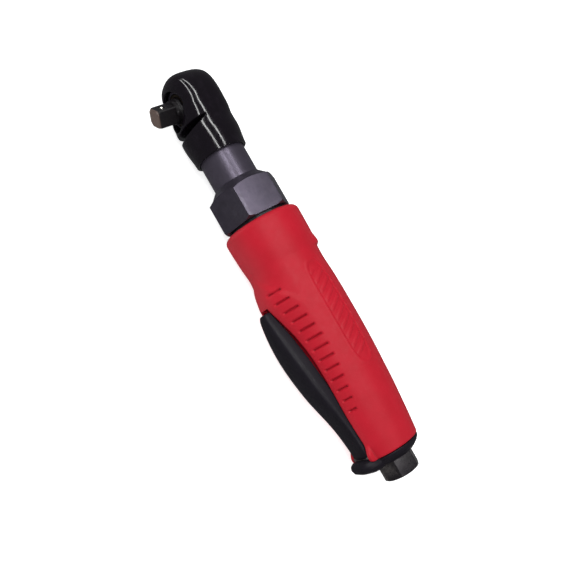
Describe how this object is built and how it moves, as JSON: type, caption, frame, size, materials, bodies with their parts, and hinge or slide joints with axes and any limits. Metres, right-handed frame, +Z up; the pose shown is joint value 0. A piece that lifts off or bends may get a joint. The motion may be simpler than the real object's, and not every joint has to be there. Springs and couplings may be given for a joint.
{
  "type": "air ratchet wrench",
  "caption": "Pneumatic ratchet wrench with a square drive head in a rubber boot, a hex collar nut, a red ribbed grip, a long throttle lever and a hex air inlet.",
  "frame": {"origin": "middle of the square drive's end face", "axes": "-Y is the way the square drive points, +X runs along the neck and grip to the air inlet, +Z is up with the tool lying on its side"},
  "size_m": [0.2468, 0.052, 0.0442],
  "materials": {
    "red_grip": "red moulded composite grip with a fine soft texture",
    "black_rubber": "smooth glossy black moulded rubber",
    "black_plastic": "black moulded plastic with a fine grain",
    "dark_steel": "dark gunmetal satin steel",
    "black_oxide": "black oxide steel, worn brighter on its edges",
    "bright_steel": "ground bright steel",
    "aluminium": "machined aluminium",
    "brass": "turned brass",
    "vane_resin": "brown laminated resin",
    "felt": "grey pressed felt"
  },
  "bodies": {
    "tool_body": {"protective_boot": "black_rubber", "valve_seal": "black_rubber", "ratchet_housing": "dark_steel", "head_rear_cover": "dark_steel", "collar_nut": "dark_steel", "front_end_plate": "dark_steel", "rear_end_plate": "dark_steel", "gear_spacer": "dark_steel", "inlet_bushing": "black_oxide", "anvil_bushing": "brass", "crank_rear_bushing": "brass", "valve_guide_bushing": "brass", "motor_housing": "aluminium", "grip_sleeve": "red_grip", "exhaust_cap": "black_plastic", "exhaust_muffler": "felt", "thrust_washer": "bright_steel", "cover_snap_ring": "bright_steel", "crank_needle_bearing": "bright_steel", "ring_gear": "bright_steel", "motor_cylinder": "bright_steel", "front_ball_bearing": "bright_steel", "rear_ball_bearing": "bright_steel", "lever_pin": "bright_steel", "valve_spring": "bright_steel", "inlet_screen": "bright_steel"},
    "anvil": {"square_drive_anvil": "black_oxide", "pawl_pin": "bright_steel", "socket_ball_spring": "bright_steel"},
    "socket_ball": {"socket_detent_ball": "bright_steel"},
    "pawl": {"drive_pawl": "bright_steel"},
    "reverser": {"reverse_knob": "black_oxide", "pawl_plunger": "bright_steel", "pawl_spring": "bright_steel"},
    "yoke": {"ratchet_yoke": "bright_steel"},
    "crank": {"crankshaft": "bright_steel", "planet_pin_1": "bright_steel", "planet_pin_2": "bright_steel", "planet_pin_3": "bright_steel"},
    "crank_bushing": {"drive_bushing": "brass"},
    "rotor_body": {"rotor": "bright_steel"},
    "lever": {"throttle_lever": "black_plastic"},
    "valve": {"throttle_valve_stem": "brass"},
    "planet_1": {"planet_gear_1": "bright_steel"},
    "planet_2": {"planet_gear_2": "bright_steel"},
    "planet_3": {"planet_gear_3": "bright_steel"},
    "vane_1": {"rotor_vane_1": "vane_resin"},
    "vane_2": {"rotor_vane_2": "vane_resin"},
    "vane_3": {"rotor_vane_3": "vane_resin"},
    "vane_4": {"rotor_vane_4": "vane_resin"},
    "vane_5": {"rotor_vane_5": "vane_resin"}
  },
  "joints": [
    {"name": "drive_spin", "type": "hinge", "parent": "tool_body", "child": "anvil", "pos_m": [0, 0.0245, 0], "axis": [0, -1, 0], "continuous": true},
    {"name": "reverse_knob_turn", "type": "hinge", "parent": "anvil", "child": "reverser", "pos_m": [0, 0.0245, 0], "axis": [0, -1, 0], "range_deg": [0, 70]},
    {"name": "pawl_rock", "type": "hinge", "parent": "anvil", "child": "pawl", "pos_m": [0.0051, 0.0245, 0], "axis": [0, -1, 0], "range_deg": [-10, 0]},
    {"name": "socket_ball_press", "type": "slide", "parent": "anvil", "child": "socket_ball", "axis": [0.7071, 0, -0.7071], "range_m": [0, 0.0006], "stiffness_N_per_m": 800, "springref_m": -0.0005, "deforming": ["socket_ball_spring"]},
    {"name": "yoke_swing", "type": "hinge", "parent": "tool_body", "child": "yoke", "pos_m": [0, 0.0245, 0], "axis": [0, -1, 0], "range_deg": [-4.1, 4.1]},
    {"name": "rotor_spin", "type": "hinge", "parent": "tool_body", "child": "rotor_body", "pos_m": [0.08005, 0.0245, 0], "axis": [1, 0, 0], "continuous": true},
    {"name": "crank_spin", "type": "hinge", "parent": "tool_body", "child": "crank", "pos_m": [0.03675, 0.0245, 0], "axis": [1, 0, 0], "continuous": true},
    {"name": "crank_bushing_roll", "type": "hinge", "parent": "crank", "child": "crank_bushing", "pos_m": [0.02245, 0.0261, 0], "axis": [1, 0, 0], "continuous": true},
    {"name": "planet_1_spin", "type": "hinge", "parent": "crank", "child": "planet_1", "pos_m": [0.06525, 0.01768, 0.00394], "axis": [1, 0, 0], "continuous": true},
    {"name": "planet_2_spin", "type": "hinge", "parent": "crank", "child": "planet_2", "pos_m": [0.06525, 0.03132, 0.00394], "axis": [1, 0, 0], "continuous": true},
    {"name": "planet_3_spin", "type": "hinge", "parent": "crank", "child": "planet_3", "pos_m": [0.06525, 0.0245, -0.00788], "axis": [1, 0, 0], "continuous": true},
    {"name": "vane_1_slide", "type": "slide", "parent": "rotor_body", "child": "vane_1", "axis": [0, 1, 0], "range_m": [0, 0.0002]},
    {"name": "vane_2_slide", "type": "slide", "parent": "rotor_body", "child": "vane_2", "axis": [0, 0.309, 0.9511], "range_m": [0, 0.0002]},
    {"name": "vane_3_slide", "type": "slide", "parent": "rotor_body", "child": "vane_3", "axis": [0, -0.809, 0.5878], "range_m": [0, 0.0002]},
    {"name": "vane_4_slide", "type": "slide", "parent": "rotor_body", "child": "vane_4", "axis": [0, -0.809, -0.5878], "range_m": [0, 0.0002]},
    {"name": "vane_5_slide", "type": "slide", "parent": "rotor_body", "child": "vane_5", "axis": [0, 0.309, -0.9511], "range_m": [0, 0.0002]},
    {"name": "lever_press", "type": "hinge", "parent": "tool_body", "child": "lever", "pos_m": [0.21035, 0.0073, 0], "axis": [0, 0, -1], "range_deg": [0, 3.5], "stiffness_Nm_per_rad": 0.4, "springref_deg": -6.88},
    {"name": "valve_slide", "type": "slide", "parent": "tool_body", "child": "valve", "axis": [0, 1, 0], "range_m": [0, 0.0012], "deforming": ["valve_spring"]}
  ],
  "couplings": [
    {"joint": "pawl_rock", "follows": "reverse_knob_turn", "ratio": -0.14286},
    {"joint": "crank_spin", "follows": "rotor_spin", "ratio": 0.28571},
    {"joint": "planet_1_spin", "follows": "rotor_spin", "ratio": -0.95238},
    {"joint": "planet_2_spin", "follows": "rotor_spin", "ratio": -0.95238},
    {"joint": "planet_3_spin", "follows": "rotor_spin", "ratio": -0.95238},
    {"joint": "valve_slide", "follows": "lever_press", "m_per_rad": 0.0196}
  ]
}
